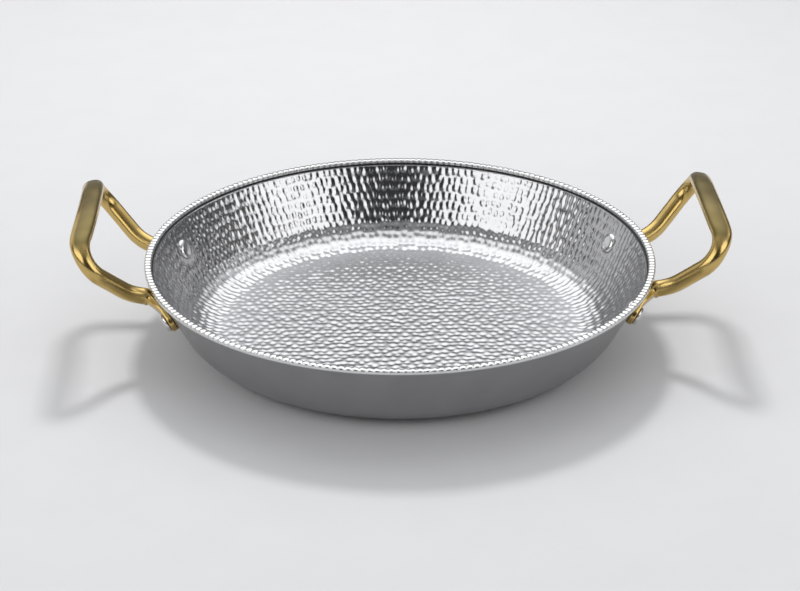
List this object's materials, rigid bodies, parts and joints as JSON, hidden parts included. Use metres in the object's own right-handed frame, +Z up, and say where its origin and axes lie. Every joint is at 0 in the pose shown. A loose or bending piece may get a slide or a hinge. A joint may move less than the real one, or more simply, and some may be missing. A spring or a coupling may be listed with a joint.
{
  "type": "casserole pan",
  "caption": "Shallow flared steel casserole pan with a knurled rolled rim and upright riveted bent-rod loop handles.",
  "frame": {"origin": "centre of the flat base, on the table", "axes": "+Z up; the two handles stand at +X and -X; the picture looks along about +Y and downwards"},
  "size_m": [0.3114, 0.248, 0.0728],
  "materials": {
    "body_steel": "bright steel, hammered inside and smooth outside",
    "handle_gold": "gold-coloured, polished legs and a satin grip",
    "rivet_steel": "bright steel"
  },
  "bodies": {
    "root": {"pan_body": "body_steel", "handle_right": "handle_gold", "handle_left": "handle_gold", "rivet_right_rear": "rivet_steel", "rivet_right_front": "rivet_steel", "rivet_left_rear": "rivet_steel", "rivet_left_front": "rivet_steel"}
  },
  "joints": []
}
